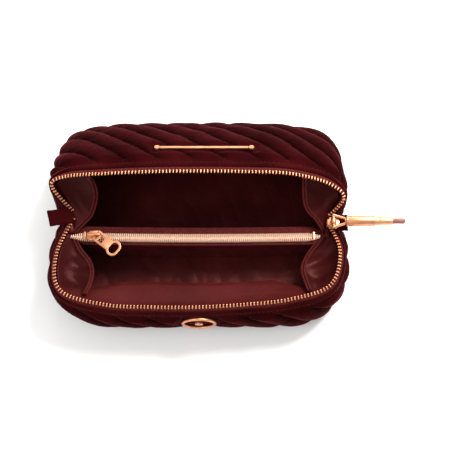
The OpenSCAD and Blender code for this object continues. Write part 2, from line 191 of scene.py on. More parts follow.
def smooth(x, lo, hi):
    t = np.clip((x - lo) / (hi - lo), 0, 1)
    return t * t * (3 - 2 * t)


def ripple(seed, *scaled):
    """A smooth, repeatable unevenness from sine waves; the inputs are lengths over their wavelengths."""
    rng = np.random.default_rng(seed)
    total = 0
    for _ in range(5):
        mix = rng.uniform(-1.4, 1.4, len(scaled))
        total = total + np.sin(sum(k * s for k, s in zip(mix, scaled)) * 2 * math.pi + rng.uniform(0, 6.28))
    return total / 5


def distance_along(points):
    """The distance from a path's start to each of its points."""
    return np.concatenate([[0], np.cumsum(np.linalg.norm(np.diff(points, axis=0), axis=1))])


def turn(piece):
    """Bake a fabric piece's placement into its mesh."""
    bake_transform(piece)


# ------------------------------------------- materials
class Nodes:
    """A new material, with short calls for its nodes."""

    def __init__(self, name):
        self.mat = bpy.data.materials.new(name)
        self.mat.use_nodes = True
        self.tree = self.mat.node_tree
        self.shader = self.tree.nodes["Principled BSDF"]

    def add(self, kind, values=(), links=(), **settings):
        node = self.tree.nodes.new("ShaderNode" + kind)
        for key, value in settings.items():
            setattr(node, key, value)
        for key, value in dict(values).items():
            node.inputs[key].default_value = value
        for key, socket in dict(links).items():
            self.tree.links.new(socket, node.inputs[key])
        return node

    def place(self, scale=(1, 1, 1)):
        at = self.add("TexCoord")
        return self.add("Mapping", {"Scale": scale}, {"Vector": at.outputs["Object"]}).outputs["Vector"]

    def noise(self, scale, detail=3.0, vector=None):
        links = {"Vector": vector or self.place()}
        return self.add("TexNoise", {"Scale": scale, "Detail": detail}, links).outputs["Fac"]

    def mix(self, fac, dark, light):
        """Blend two colours by a 0 to 1 value."""
        ramp = self.add("ValToRGB", links={"Fac": fac})
        ramp.color_ramp.elements[0].color = (*dark, 1)
        ramp.color_ramp.elements[1].color = (*light, 1)
        ramp.color_ramp.elements[0].position = 0.3
        ramp.color_ramp.elements[1].position = 0.72
        return ramp.outputs["Color"]

    def bump(self, height, strength, distance, normal=None):
        links = {"Height": height}
        if normal:
            links["Normal"] = normal
        return self.add("Bump", {"Strength": strength, "Distance": distance}, links).outputs["Normal"]

    def feed(self, socket, source):
        self.tree.links.new(source, self.shader.inputs[socket])

    def set(self, **values):
        for key, value in values.items():
            self.shader.inputs[key.replace("_", " ")].default_value = value


def velvet():
    n = Nodes("velvet")
    n.set(Roughness=0.9, Sheen_Weight=0.6, Sheen_Roughness=0.26, Sheen_Tint=(0.30, 0.032, 0.040, 1),
          Specular_Tint=(1.0, 0.3, 0.3, 1), Specular_IOR_Level=0.03)
    broad, pile = n.noise(28), n.noise(2600, 2)
    # Painted shade: where the mesh attribute marks the quilting's valleys, the colour is mixed toward near
    # black.
    valley_shade_input = n.add("Attribute", attribute_name="valley_shade")
    plain = n.mix(broad, (0.014, 0.0009, 0.0012), (0.032, 0.0023, 0.0030))
    # The Mix node's sockets go by number: 0 is the factor, 6 and 7 are the colours A and B, 2 is the result
    shaded = n.add("Mix", {7: (0.0035, 0.0003, 0.0004, 1)}, {0: valley_shade_input.outputs["Fac"], 6: plain},
                   data_type="RGBA")
    n.feed("Base Color", shaded.outputs[2])
    n.feed("Normal", n.bump(pile, 0.5, 0.0004, n.bump(n.noise(240), 0.22, 0.0008)))
    return n.mat


def satin(name, shade):
    """Lining satin; a shade under 1 makes it darker and less shiny: painted shade, for cloth that lies in
    shadow.
    """
    n = Nodes(name)
    tones = (0.028, 0.0030, 0.0030), (0.055, 0.0064, 0.0062)
    deep, lit = (tuple(shade * c for c in tone) for tone in tones)
    n.set(Roughness=0.38, Sheen_Weight=0.06, Sheen_Roughness=0.4, Sheen_Tint=(0.5, 0.1, 0.09, 1),
          Specular_Tint=(1.0, 0.36, 0.34, 1), Specular_IOR_Level=0.2 * shade)
    n.feed("Base Color", n.mix(n.noise(22), deep, lit))
    weave = n.add("TexWave", {"Scale": 900.0, "Distortion": 0.6, "Detail": 1.0}, {"Vector": n.place()})
    n.feed("Normal", n.bump(weave.outputs["Fac"], 0.12, 0.0002, n.bump(n.noise(130), 0.35, 0.0012)))
    return n.mat


def woven(name, dark, light):
    n = Nodes(name)
    tint = tuple(min(1.0, 3 * c) for c in light)
    n.set(Roughness=0.85, Sheen_Weight=0.15, Sheen_Roughness=0.5, Sheen_Tint=(*tint, 1),
          Specular_Tint=(*tint, 1), Specular_IOR_Level=0.12)
    n.feed("Base Color", n.mix(n.noise(700), dark, light))
    across = n.add("TexWave", {"Scale": 420.0, "Distortion": 0.4}, {"Vector": n.place((1, 0.15, 0.15))})
    along = n.add("TexWave", {"Scale": 420.0, "Distortion": 0.4}, {"Vector": n.place((0.15, 1, 1))},
                  bands_direction="Y")
    both = n.add("Math", links={0: across.outputs["Fac"], 1: along.outputs["Fac"]}, operation="MULTIPLY")
    n.feed("Normal", n.bump(both.outputs["Value"], 0.6, 0.0004))
    return n.mat


def metal(name, dark, light, rough=0.4):
    n = Nodes(name)
    n.set(Metallic=1.0, Coat_Weight=0.05, Coat_Roughness=0.3)
    n.feed("Base Color", n.mix(n.noise(160), dark, light))
    wear = n.add("MapRange", {"To Min": rough - 0.03, "To Max": rough + 0.05}, {"Value": n.noise(420, 3)})
    n.feed("Roughness", wear.outputs["Result"])
    n.feed("Normal", n.bump(n.noise(900), 0.04, 0.0001))
    return n.mat


def lacquer():
    n = Nodes("charm_tip_lacquer")
    n.set(Roughness=0.35, Coat_Weight=0.25, Coat_Roughness=0.15)
    n.feed("Base Color", n.mix(n.noise(300), (0.17, 0.060, 0.045), (0.24, 0.088, 0.064)))
    n.feed("Normal", n.bump(n.noise(700), 0.05, 0.0002))
    return n.mat


# The gussets get the lining satin at 0.6: a darker copy of the same cloth, as painted shade.
VELVET, SATIN, SHADED_GUSSET_SATIN = velvet(), satin("lining_satin", 1.0), satin("gusset_satin_painted_shade", 0.6)
TAPE = woven("zip_tape", (0.045, 0.007, 0.007), (0.085, 0.015, 0.014))
PIPING = woven("bias_piping", (0.045, 0.007, 0.007), (0.08, 0.013, 0.013))
THREAD = woven("thread", (0.05, 0.006, 0.007), (0.10, 0.016, 0.016))
GOLD = metal("rose_gold", (0.58, 0.24, 0.12), (0.72, 0.33, 0.18))
PALE_GOLD = metal("pale_gold", (0.62, 0.31, 0.16), (0.74, 0.42, 0.24), 0.42)
COIL = woven("coil_finish", (0.60, 0.36, 0.24), (0.82, 0.55, 0.40))
LACQUER = lacquer()


# ------------------------------------------- mesh helpers; points are in millimetres
def make(name, points, faces, material, body=None):
    mesh = bpy.data.meshes.new(name)
    mesh.from_pydata((np.asarray(points, float) * MM).tolist(), [], [list(map(int, f)) for f in faces])
    mesh.validate()
    mesh.update()
    mesh.polygons.foreach_set("use_smooth", [True] * len(mesh.polygons))
    mesh.materials.append(material)
    piece = bpy.data.objects.new(name, mesh)
    bpy.context.scene.collection.objects.link(piece)
    if body:
        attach(piece, body)
    return piece


def fix_normals(piece):
    bm = bmesh.new()
    bm.from_mesh(piece.data)
    bmesh.ops.recalc_face_normals(bm, faces=bm.faces)
    bm.to_mesh(piece.data)
    bm.free()
    return piece


def slab_faces(nu, nv, start=0):
    """Faces of a closed slab made of two grids, one after the other."""
    i, j = np.meshgrid(np.arange(nu - 1), np.arange(nv - 1), indexing="ij")
    a = (i * nv + j).ravel()
    one = np.stack([a, a + 1, a + nv + 1, a + nv], 1)
    h = nu * nv
    faces = [one, (one + h)[:, ::-1]]
    i = np.arange(nu - 1)
    for at in (0, nv - 1):
        q = np.stack([i * nv + at, (i + 1) * nv + at, h + (i + 1) * nv + at, h + i * nv + at], 1)
        faces.append(q if at == 0 else q[:, ::-1])
    j = np.arange(nv - 1)
    for at in (0, (nu - 1) * nv):
        q = np.stack([at + j, h + at + j, h + at + j + 1, at + j + 1], 1)
        faces.append(q if at == 0 else q[:, ::-1])
    return np.concatenate(faces) + start


def slab(name, outer, inner, material, body=None):
    nu, nv = outer.shape[:2]
    points = np.concatenate([outer.reshape(-1, 3), inner.reshape(-1, 3)])
    return fix_normals(make(name, points, slab_faces(nu, nv), material, body))


def modify(piece, kind, **settings):
    """Add a modifier and apply it at once."""
    m = piece.modifiers.new(kind.lower(), kind)
    for key, value in settings.items():
        setattr(m, key, value)
    graph = bpy.context.evaluated_depsgraph_get()
    done = bpy.data.meshes.new_from_object(piece.evaluated_get(graph))
    piece.modifiers.clear()
    old = piece.data
    piece.data = done
    bpy.data.meshes.remove(old)
    done.polygons.foreach_set("use_smooth", [True] * len(done.polygons))
    return piece


def ring_faces(rings, sides):
    """The faces between rings of points that follow each other, each with the same number of points."""
    faces = []
    for i in range(rings - 1):
        for k in range(sides):
            after = (k + 1) % sides
            faces.append((i * sides + k, i * sides + after, (i + 1) * sides + after, (i + 1) * sides + k))
    return faces


def tube_points(path, radius, sides=8, normals=None):
    """Rings round a path, and the faces between them, with closed ends."""
    path = np.asarray(path, float)
    t = unit(np.gradient(path, axis=0))
    if normals is None:
        normals = np.broadcast_to([0.0, 0.0, 1.0], path.shape)
    a = unit(np.cross(t, normals))
    b = unit(np.cross(a, t))
    angle = np.arange(sides) * 2 * math.pi / sides
    r = np.broadcast_to(np.asarray(radius, float), (len(path),))[:, None, None]
    ring = np.cos(angle)[None, :, None] * a[:, None] + np.sin(angle)[None, :, None] * b[:, None]
    points = (path[:, None] + r * ring).reshape(-1, 3)
    faces = ring_faces(len(path), sides)
    faces.append(tuple(range(sides))[::-1])
    faces.append(tuple((len(path) - 1) * sides + j for j in range(sides)))
    return points, faces


def gather(parts):
    """Join several (points, faces) into one."""
    points, faces, n = [], [], 0
    for p, f in parts:
        points.append(p)
        faces += [tuple(i + n for i in face) for face in f]
        n += len(p)
    return np.concatenate(points), faces


def tubes(name, paths, radius, material, body=None, sides=8):
    points, faces = gather([tube_points(p, radius, sides) for p in paths])
    return fix_normals(make(name, points, faces, material, body))


def stitches(name, runs, radius):
    """Short raised threads along paths; each run is (points, normals), both close together."""
    parts = []
    for points, normals in runs:
        along = distance_along(points)
        for s in np.arange(STITCH_GAP / 2, along[-1] - STITCH_LEN, STITCH_GAP):
            at = np.linspace(s, s + STITCH_LEN, 5)
            p = np.stack([np.interp(at, along, points[:, k]) for k in range(3)], 1)
            n = np.stack([np.interp(at, along, normals[:, k]) for k in range(3)], 1)
            lift = np.array([-0.15, 0.2, 0.3, 0.2, -0.15])[:, None]
            thick = radius * np.array([0.45, 0.9, 1, 0.9, 0.45])
            parts.append(tube_points(p + n * lift, thick, 6, normals=n))
    points, faces = gather(parts)
    return fix_normals(make(name, points, faces, THREAD))


EDGE_ROLL = 0.25


def polished(node, body, material):
    """A softened copy of a hard CAD node, with rolled edges, that stands for it."""
    source = bpy.data.objects[node] if node in bpy.data.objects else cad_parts[node]
    piece = bpy.data.objects.new(node + "_finished", source.data.copy())
    bpy.context.scene.collection.objects.link(piece)
    piece.data.materials.clear()
    piece.data.materials.append(material)
    modify(piece, "WELD", merge_threshold=0.00001)
    modify(piece, "BEVEL", width=EDGE_ROLL * MM, segments=2, limit_method="ANGLE",
           angle_limit=math.radians(40), harden_normals=False)
    bm = bmesh.new()
    bm.from_mesh(piece.data)
    for e in bm.edges:
        e.smooth = len(e.link_faces) == 2 and e.calc_face_angle(0) < math.radians(38)
    bm.to_mesh(piece.data)
    bm.free()
    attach(piece, body)
    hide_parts(node)
    return piece


# ------------------------------------------- quilted velvet walls
QUILT_SHIFT = {FRONT: 0.1, BACK: -0.36}
QUILT_SINK = 0.9
QUILT_TOP = 7.0
WALL_DEPTH = 3.6
# Where the ornament of each wall is sewn on, from the rim down, and the size of what it presses flat
ORNAMENT_V = {FRONT: 0.5, BACK: 0.29}
RING_REACH = 20.0
BAR_MIDDLE, BAR_REACH, BAR_HALF = 4.0, 44.0, 7.5


def quilt_phase(side, around, m):
    lean = QUILT_LEAN * m * (1 if side == BACK else -1)
    drift = 0.05 * ripple(3 + side, around / 70, m / 45)
    return (around + lean) / QUILT_PITCH + QUILT_SHIFT[side] + drift


def quilted_wall(side, name, rows, nodes):
    us = np.linspace(0.0, 1.0, 361)
    top = v_at(side, us, QUILT_TOP)
    share = np.linspace(0, 1, rows)
    v = top[:, None] + (1 - top[:, None]) * share[None, :]
    u = np.broadcast_to(us[:, None], v.shape)
    m, tables = depth_at(side, us, v)
    full = tables[:, -1:]
    around = (u - 0.5) * HALF_ROUND
    puff = np.abs(np.sin(math.pi * quilt_phase(side, around, m))) ** 0.55
    edge = smooth(m, QUILT_START - 1, QUILT_START + 6) * smooth(full - m, 0.5, 7)
    edge = edge * smooth(0.5 - np.abs(u - 0.5), 0.004, 0.035)
    pucker = (1 - puff) * 0.34 * np.sin(2 * math.pi * (m / 6.5 + ripple(9, around / 30, m / 30)))
    slack = 0.55 * ripple(11 + side, around / 46, m / 30) + 0.16 * ripple(17, around / 9, m / 9)
    lift = edge * (QUILT_HEIGHT * puff - QUILT_SINK + pucker + slack)
    normal = wall_normal(side, u, v)
    base = wall(side, u, v)
    lift = lift * (1 - 0.85 * pressed(side, base[..., 0], m))
    outer = base + normal * lift[..., None]
    outer[..., 2] = np.maximum(outer[..., 2], BASE_T * 0.6)
    inner = base - normal * WALL_DEPTH
    piece = slab(name, outer, inner, VELVET)
    # Painted shade for the valleys between the channels: 1 where the wall dips, 0 on the puffed ridges; the
    # velvet darkens by it
    valley_shade = piece.data.attributes.new("valley_shade", "FLOAT", "POINT")
    valley_shade.data.foreach_set("value", np.concatenate([(edge * (1 - puff) ** 0.8).ravel(), np.zeros(edge.size)]))
    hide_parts(*nodes)
    turn(piece)
    return piece


def pressed(side, x, m):
    """1 under the sewn-on ornament and 0 away from it: the bar at the back, the ring at the front."""
    place = np.interp(ORNAMENT_V[side], FINE, depth_tables(side, np.array([0.5]))[0])
    if side == BACK:
        return smooth(BAR_REACH - np.abs(x - BAR_MIDDLE), 0, 5) * smooth(BAR_HALF - np.abs(m - place), 0, 4.5)
    return smooth(RING_REACH - np.hypot(x, m - place), 0, 6)


def channel_stitches(side, name):
    """The quilting threads, along the valleys between the channels."""
    us = np.linspace(0.03, 0.97, 700)
    tables = depth_tables(side, us)
    runs = []
    around = (us - 0.5) * HALF_ROUND
    deep = np.linspace(QUILT_START + 1, tables[:, -1].max() - 3, 70)
    grid_a, grid_m = np.meshgrid(around, deep, indexing="ij")
    phase = quilt_phase(side, grid_a, grid_m)
    for valley in range(-14, 15):
        line = []
        for j, m in enumerate(deep):
            hit = np.nonzero((phase[:-1, j] - valley) * (phase[1:, j] - valley) <= 0)[0]
            if len(hit):
                i = hit[0]
                if m < tables[i, -1] - 4:
                    line.append((us[i], np.interp(m, tables[i], FINE)))
        if len(line) > 6:
            u, v = np.array(line).T
            n = wall_normal(side, u, v)
            edge = smooth(deep[:len(u)], QUILT_START - 1, QUILT_START + 6)[:, None]
            runs.append((wall(side, u, v) + n * (0.05 - 0.85 * edge), n))
    piece = stitches(name, runs, 0.26)
    turn(piece)
    return piece


def strip(side, name, rows, under, us, material, nodes=()):
    """A band along the rim: rows are (distance from the rim, height above the wall)."""
    cols = [v_at(side, us, max(m, 0)) for m, _ in rows]
    top = np.stack([wall(side, us, v) + wall_normal(side, us, v) * h for v, (_, h) in zip(cols, rows)], 1)
    low = np.stack([wall(side, us, v) - wall_normal(side, us, v) * under for v in cols], 1)
    piece = slab(name, top, low, material)
    if nodes:
        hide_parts(*nodes)
    turn(piece)
    return piece


# Rows of the hem and the tape, as strip() takes them
HEM_ROWS = [(3.9, 0.1), (4.0, 0.75), (4.7, 1.25), (6.0, 1.45), (7.3, 1.2), (8.0, 0.7), (8.3, 0.05)]
TAPE_ROWS = [(0.0, 0.1), (0.5, 0.3), (2.4, 0.3), (4.6, 0.25)]
TOP_STITCH_AT = 9.1
WHOLE = np.linspace(0.0, 1.0, 321)
OPEN = np.linspace(0.012, 0.988, 321)


def top_stitch(side, name):
    u = np.linspace(0.02, 0.98, 600)
    v = v_at(side, u, TOP_STITCH_AT)
    n = wall_normal(side, u, v)
    piece = stitches(name, [(wall(side, u, v) + n * 0.05, n)], 0.22)
    turn(piece)
    return piece


# ------------------------------------------- zip teeth
# How far from each zip end the teeth stop
TEETH_START, TEETH_END = 4.5, 4.0


def tooth_shape():
    """One cast tooth: a rounded jaw on a waist, with a nib.

    x is along the chain and y goes into the mouth. Each section is (y, half width, half thickness).
    """
    sections = [(-1.35, 0.38, 0.7), (-1.2, 0.58, 0.9), (-0.5, 0.55, 0.9), (0.1, 0.45, 0.75),
                (0.5, 0.58, 0.85), (0.95, 0.62, 0.85), (1.25, 0.45, 0.6), (1.4, 0.22, 0.35)]
    points, n = [], 12
    for y, a, b in sections:
        for k in range(n):
            t = 2 * math.pi * k / n
            c, s = math.cos(t), math.sin(t)
            points.append((a * math.copysign(abs(c) ** 0.5, c), y, b * math.copysign(abs(s) ** 0.5, s)))
    faces = ring_faces(len(sections), n)
    faces += [tuple(range(n))[::-1], tuple((len(sections) - 1) * n + k for k in range(n))]
    return np.array(points), faces


def teeth(side, name, nodes):
    fine = np.linspace(0, 1, 1201)
    p = rim(side, fine)
    along = distance_along(p)
    u = np.interp(np.arange(TEETH_START, along[-1] - TEETH_END, TOOTH_PITCH), along, fine)
    n = wall_normal(side, u, np.full_like(u, 0.02))
    t = unit(rim(side, np.minimum(u + 0.004, 1)) - rim(side, np.maximum(u - 0.004, 0)))
    into = unit(np.cross(n, t)) * (1 if side == FRONT else -1)
    shape, faces = tooth_shape()
    parts = []
    for i in range(len(u)):
        at = rim(side, u[i:i + 1])[0] - n[i] * 0.1
        parts.append((at + shape[:, :1] * t[i] + shape[:, 1:2] * into[i] + shape[:, 2:] * n[i], faces))
    points, faces = gather(parts)
    piece = fix_normals(make(name, points, faces, GOLD))
    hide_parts(*nodes)
    turn(piece)
    return piece


# ------------------------------------------- lining
# How far each lining sags into the bag, and the lowest that it hangs
SLOUCH = {FRONT: 21.0, BACK: 0.0}
LINING_LOWEST = 5.6
LINING_T = 0.7


def lining_sheet(side, name, nodes):
    us = np.linspace(0.001, 0.999, 301)
    top = v_at(side, us, 0.9)
    v = top[:, None] + (0.985 - top[:, None]) * np.linspace(0, 1, 80)[None, :]
    u = np.broadcast_to(us[:, None], v.shape)
    m, _ = depth_at(side, us, v)
    around = (u - 0.5) * HALF_ROUND
    mid = smooth(0.5 - np.abs(u - 0.5), 0.14, 0.34)
    bell = np.sin(math.pi * np.clip(v / 0.9, 0, 1) ** 0.8) ** 1.1
    folds = ripple(21 + side, around / 44, m / 10) + 0.6 * ripple(31, around / 17, m / 26)
    crease = np.abs(np.sin(math.pi * (m / 11 + 0.7 * ripple(41, around / 60, m / 40)))) ** 0.5
    depth = 1.0 + 3.6 * smooth(m, 1, 9) + SLOUCH[side] * mid * bell
    drape = np.abs(np.sin(math.pi * (m / 17 + around / 95 + 0.5 * ripple(43, around / 50, m / 30)))) ** 0.7
    depth = depth + smooth(m, 4, 16) * (0.9 + 0.9 * folds + (1.6 if side == FRONT else 1.0) * crease)
    depth = depth + smooth(m, 8, 22) * (2.6 if side == FRONT else 1.4) * drape * mid
    normal = wall_normal(side, u, v)
    p = wall(side, u, v) - normal * depth[..., None]
    p[..., 2] = np.maximum(p[..., 2], LINING_LOWEST)
    piece = slab(name, p - normal * LINING_T, p, SATIN)
    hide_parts(*nodes)
    turn(piece)
    return piece


# ------------------------------------------- build the soft body
for side, word, rows in ((FRONT, "front", 70), (BACK, "back", 104)):
    quilted_wall(side, word + "_quilted_velvet", rows,
                 [f"{word}_{layer}_{part}" for layer in ("velvet", "wadding") for part in ("lower", "upper")])
    channel_stitches(side, word + "_quilt_threads")
    strip(side, word + "_hem_band", HEM_ROWS, 0.0, WHOLE, VELVET, [word + "_hem"])
    strip(side, word + "_zip_tape", TAPE_ROWS, 0.7, OPEN, TAPE, [word + "_tape"])
    top_stitch(side, word + "_top_stitch")
    teeth(side, word + "_zip_teeth", [word + "_teeth"])
    lining_sheet(side, word + "_lining_cloth", [f"{word}_lining_lower", f"{word}_lining_upper"])


def seam_at_end(name, u):
    """The welt that joins the two walls below a zip end."""
    v = np.linspace(0.02, 0.985, 60)
    p = (wall(FRONT, u, v) + wall(BACK, u, v)) / 2
    n = unit(wall_normal(FRONT, u, v) + wall_normal(BACK, u, v))
    tubes(name, [p + n * 0.4], 1.5, VELVET, "root", 10)


seam_at_end("side_welt_left", 0.0)
seam_at_end("side_welt_right", 1.0)


# ------------------------------------------- base and floor
def round_outline(inset, n=240):
    u = np.linspace(0, 1, n // 2, endpoint=False)
    front, out_f = outline(FRONT, u)
    back, out_b = outline(BACK, 1 - u)
    return np.concatenate([front - out_f * inset, back - out_b * inset])


def plate(name, rings, material, replaced):
    """A closed plate from rings of (inset, height), from the bottom's middle to the top's middle."""
    loops = []
    for inset, z in rings:
        loop = round_outline(inset)
        loop[:, 2] = z
        loops.append(loop)
    n = len(loops[0])
    faces = ring_faces(len(loops), n)
    faces += [tuple(range(n)), tuple((len(loops) - 1) * n + k for k in range(n))[::-1]]
    piece = fix_normals(make(name, np.concatenate(loops), faces, material, "root"))
    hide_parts(*replaced)
    return piece


BASE_RINGS = [(60, 0.25), (30, 0.12), (6, 0.0), (2, 0.0), (0.4, 0.35), (0, 0.9), (0.3, 1.4), (1.2, 1.6),
              (20, 1.6)]
BOARD_RINGS = [(8, 1.65), (7.4, 1.75), (7.3, 2.5), (7.4, 3.2), (8, 3.3)]
WELT_OUT, WELT_Z, WELT_R = 0.2, 2.1, 1.35
plate("base_velvet", BASE_RINGS, VELVET, ["base_panel"])
plate("stiffening_board", BOARD_RINGS, woven("board_card", (0.3, 0.22, 0.14), (0.42, 0.33, 0.22)),
      ["base_board"])
ring = round_outline(-WELT_OUT)
ring[:, 2] = WELT_Z
tubes("base_welt", [np.concatenate([ring, ring[:2]])], WELT_R, VELVET, "root", 10)


FLOOR_HALF_L, FLOOR_HALF_W, FLOOR_Z = 99, 69, 5.2
FLOOR_INSET = 5.0


def floor_cloth():
    """The lining over the board, slack and creased."""
    x, y = np.meshgrid(np.linspace(-FLOOR_HALF_L, FLOOR_HALF_L, 150),
                       np.linspace(-FLOOR_HALF_W, FLOOR_HALF_W, 110), indexing="ij")
    radius = np.where(y < 0, CORNER[FRONT], CORNER[BACK]) - FLOOR_INSET
    along, across = FLOOR_HALF_L - radius, FLOOR_HALF_W - radius
    corner = np.hypot(np.maximum(np.abs(x) - along, 0), np.maximum(np.abs(y) - across, 0))
    pull, outside = radius / np.maximum(corner, 1e-6), corner > radius
    x = np.where(outside, np.sign(x) * (along + (np.abs(x) - along) * pull), x)
    y = np.where(outside, np.sign(y) * (across + (np.abs(y) - across) * pull), y)
    edge = smooth(corner / radius, 0.6, 1.0)
    creases = 0.5 * ripple(51, x / 40, y / 24) + 0.6 * np.abs(ripple(52, x / 25, y / 60)) ** 0.5
    z = FLOOR_Z + creases + 2.0 * edge
    top = np.stack([x, y, z], -1)
    piece = slab("floor_lining_cloth", top, top - [0, 0, LINING_T], SATIN, "root")
    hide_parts("base_lining")


floor_cloth()


# ------------------------------------------- gussets that hold the mouth, and their bound seams
# The seam that each gusset is bound along, from the rim down to the zip end
GUSSETS = {
    ("left", BACK): [
        (-82, 15, 76), (-79, 13, 69), (-78, 7, 58), (-82, -3, 48), (-88, -9, 44), (-96, -16, 40)],
    ("right", BACK): [
        (79, 15, 75), (79, 12, 66), (80, 3, 56), (83, -2, 50), (89, -7, 46), (95, -15, 41)],
    ("left", FRONT): [
        (-85, -66, 45), (-82, -57, 41), (-81, -46, 37), (-84, -37, 36), (-91, -28, 37), (-96, -18, 40)],
    ("right", FRONT): [
        (83, -63, 45), (80, -52, 40), (79, -42, 36), (84, -31, 36), (90, -24, 38), (95, -17, 41)],
}


GUSSET_TOP = 4.0
GUSSET_BEHIND_WALL = 4.2


def gusset(where, side, seam):
    word = ("front" if side == FRONT else "back") + "_" + where
    t = np.linspace(0, 1, 60)
    seam = spline(np.array(seam, float), t * (len(seam) - 1))
    middle = np.linspace(0.2, 0.8, 200)
    start = np.interp(seam[0, 0], rim(side, middle)[:, 0], middle)
    end = 0.015 if where == "left" else 0.985
    u = start + (end - start) * t
    v = v_at(side, u, GUSSET_TOP)
    rim_line = wall(side, u, v) - wall_normal(side, u, v) * GUSSET_BEHIND_WALL
    across = np.linspace(0, 1, 24)[None, :, None]
    p = rim_line[:, None] * (1 - across) + seam[:, None] * across
    hang = np.sin(math.pi * across[..., 0]) * np.sin(math.pi * np.clip(t * 1.1, 0, 1))[:, None]
    folds = ripple(61 + side, t[:, None] * 3, across[..., 0] * 0.8)
    p[..., 2] -= hang * (5 + 2.2 * folds)
    p[..., 0] += hang * 1.6 * folds
    # The gusset cloth takes the darker satin copy: painted shade.
    cloth = slab("gusset_" + word, p, p - [0, 0, 0.6], SHADED_GUSSET_SATIN)
    turn(cloth)
    away = unit(np.cross(unit(np.gradient(seam, axis=0)), [0, 0, 1.0]))
    bound = tubes("gusset_piping_" + word, [seam + away * 0.9, seam - away * 1.1 - [0, 0, 0.5]], 0.8, PIPING)
    turn(bound)


for (where, side), seam in GUSSETS.items():
    gusset(where, side, seam)


# ------------------------------------------- divider pocket
ZIP_LEFT, ZIP_RIGHT = -101.0, 95.5


def bow(x):
    """How far the pocket's top edge stands forward and down in its middle."""
    return -1.2 * (1 - (np.asarray(x) / 96) ** 2)


def pocket_bag():
    x = np.linspace(ZIP_LEFT, ZIP_RIGHT, 120)
    angle = np.linspace(0, 2 * math.pi, 64, endpoint=False)
    taper = np.clip(1 - (np.abs(x + 1.5) / 97) ** 6, 0.12, 1)[:, None]
    lows = 5.4 + 26 * smooth(np.abs(x), 90, 98)
    c, s = np.cos(angle), np.sin(angle)
    width = np.where(c > 0, 8.4, 5.2)
    y = POCKET_Y + bow(x)[:, None] + taper * width * np.sign(c) * np.abs(c) ** 0.5
    half = (POCKET_H - 1.2 - lows) / 2
    z = lows[:, None] + half[:, None] * (1 + np.sign(s) * np.abs(s) ** 0.4)
    sway = smooth(POCKET_H - z, 2, 14)
    waves = 1.5 * ripple(71, x[:, None] / 38, z / 40) + 0.7 * ripple(72, x[:, None] / 14, z / 50)
    y = y + sway * waves * np.sign(c)
    n = len(angle)
    points = np.stack([np.broadcast_to(x[:, None], y.shape), y, z], -1).reshape(-1, 3)
    faces = ring_faces(len(x), n)
    faces += [tuple(range(n)), tuple((len(x) - 1) * n + k for k in range(n))[::-1]]
    piece = fix_normals(make("pocket_bag_cloth", points, faces, SATIN, "root"))
    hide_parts("pocket_front", "pocket_back", "pocket_floor")


def pocket_tape(word, y0, y1, node):
    x = np.linspace(ZIP_LEFT, ZIP_RIGHT, 160)
    y = np.linspace(y0, y1, 7)
    gx, gy = np.meshgrid(x, y, indexing="ij")
    gather_in = 1 - 0.75 * smooth(np.abs(gx), 86, 98)
    top = np.stack([gx, POCKET_Y + bow(gx) + (gy - POCKET_Y) * gather_in,
                    POCKET_H - 0.1 + 0.25 * ripple(81, gx / 30, gy / 20)], -1)
    piece = slab("pocket_tape_cloth_" + word, top, top - [0, 0, 0.8], TAPE, "root")
    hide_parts(node)


def pocket_chain():
    """Two rows of nylon coil, locked together."""
    pitch, r, turn_points = 1.5, 1.15, 9
    paths = []
    for way in (-1, 1):
        t = np.arange(0, (ZIP_RIGHT - ZIP_LEFT - 6) / pitch, 1 / turn_points)
        x = ZIP_LEFT + 3 + t * pitch + (0.35 if way > 0 else 0)
        ends = 1 - 0.72 * smooth(np.abs(x - (ZIP_LEFT + ZIP_RIGHT) / 2), 84, 97)
        y = POCKET_Y + bow(x) + ends * way * (1.15 + 1.95 * np.cos(2 * math.pi * t))
        paths.append(np.stack([x, y, POCKET_H + 1.15 + r * np.sin(2 * math.pi * t)], -1))
    piece = tubes("pocket_zip_coil", paths, 0.48, COIL, "root", 5)
    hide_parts("pocket_coil")


pocket_bag()
pocket_tape("front", POCKET_Y - 5.4, POCKET_Y - 1.6, "pocket_tape_front")
pocket_tape("back", POCKET_Y + 1.6, POCKET_Y + 9.0, "pocket_tape_back")
pocket_chain()


# ------------------------------------------- padded tabs and end folds, puffed by cloth simulation
# The simulation runs SIM_SCALE times larger, where its default thicknesses fit, for SIM_FRAMES frames at one
# pressure, and no point may move further than PUFF_LIMIT
SIM_SCALE = 20.0
SIM_FRAMES = 20
SIM_PRESSURE = 4.0
PUFF_LIMIT = 0.7


